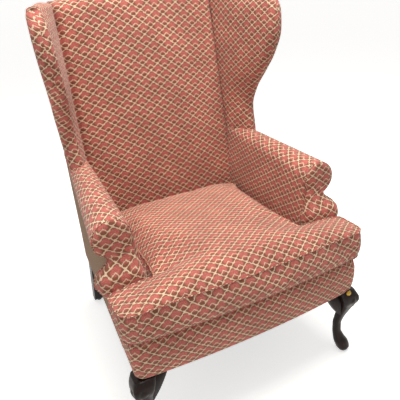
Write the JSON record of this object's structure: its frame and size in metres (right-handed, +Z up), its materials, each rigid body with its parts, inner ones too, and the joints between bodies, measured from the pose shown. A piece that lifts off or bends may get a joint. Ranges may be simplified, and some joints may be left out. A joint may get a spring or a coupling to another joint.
{
  "type": "wingback armchair",
  "caption": "High-backed upholstered armchair with side wings, rolled arms, cabriole front legs and a loose T-shaped seat cushion that pulls out.",
  "frame": {"origin": "on the floor, under the middle of the chair's bounding box", "axes": "+Z up, -Y the way the chair faces, +X to the right as seen from the front"},
  "size_m": [0.751, 0.81, 1.126],
  "materials": {
    "dark_wood": "polished dark stain",
    "frame_wood": "planed, unfinished",
    "spring_steel": "oiled spring wire",
    "slider_metal": "nickel plated",
    "tack_brass": "domed, polished",
    "glide_plastic": "moulded",
    "zip_nylon": "woven tape and nylon teeth",
    "jute": "woven jute",
    "black_lining": "non-woven lining",
    "deck_lining": "plain cotton",
    "wadding": "foam and cotton felt",
    "trellis_fabric": "woven diamond trellis in rose, cream and taupe"
  },
  "bodies": {
    "chair": {"arm_cover_left": "trellis_fabric", "arm_cover_right": "trellis_fabric", "arm_front_panel_left": "trellis_fabric", "arm_front_panel_right": "trellis_fabric", "arm_pad_left": "wadding", "arm_pad_right": "wadding", "arm_rail_left": "frame_wood", "arm_rail_right": "frame_wood", "arm_stump_left": "frame_wood", "arm_stump_right": "frame_wood", "arm_tack_rail_left": "frame_wood", "arm_tack_rail_right": "frame_wood", "back_seat_rail": "frame_wood", "back_tack_rail": "frame_wood", "back_webbing": "jute", "corner_block_screws": "spring_steel", "corner_blocks": "frame_wood", "crest_rail": "frame_wood", "deck_cover": "deck_lining", "deck_hessian": "jute", "deck_pad": "wadding", "dust_cover": "black_lining", "frame_dowels": "frame_wood", "front_border_cover": "trellis_fabric", "front_border_pad": "wadding", "front_leg_left": "dark_wood", "front_leg_right": "dark_wood", "front_seat_rail": "frame_wood", "glides": "glide_plastic", "inside_back_cover": "trellis_fabric", "inside_back_pad": "wadding", "knee_blocks_left": "dark_wood", "knee_blocks_right": "dark_wood", "knee_tack": "tack_brass", "outside_arm_panel_left": "trellis_fabric", "outside_arm_panel_right": "trellis_fabric", "outside_back_panel": "trellis_fabric", "outside_wing_panel_left": "trellis_fabric", "outside_wing_panel_right": "trellis_fabric", "rear_leg_left": "dark_wood", "rear_leg_right": "dark_wood", "side_seat_rail_left": "frame_wood", "side_seat_rail_right": "frame_wood", "sinuous_springs": "spring_steel", "spring_clips": "spring_steel", "wing_cover_left": "trellis_fabric", "wing_cover_right": "trellis_fabric", "wing_pad_left": "wadding", "wing_pad_right": "wadding", "wing_post_left": "frame_wood", "wing_post_right": "frame_wood", "wing_top_rail_left": "frame_wood", "wing_top_rail_right": "frame_wood"},
    "cushion": {"cushion_cover": "trellis_fabric", "cushion_core": "wadding", "cushion_zip": "zip_nylon"},
    "slider": {"zip_slider": "slider_metal"}
  },
  "joints": [
    {"name": "cushion_pull_out", "type": "slide", "parent": "chair", "child": "cushion", "axis": [0, -0.9999, 0.0105], "range_m": [0, 0.62]},
    {"name": "zip_run", "type": "slide", "parent": "cushion", "child": "slider", "axis": [1, 0, 0], "range_m": [0, 0.392]}
  ]
}
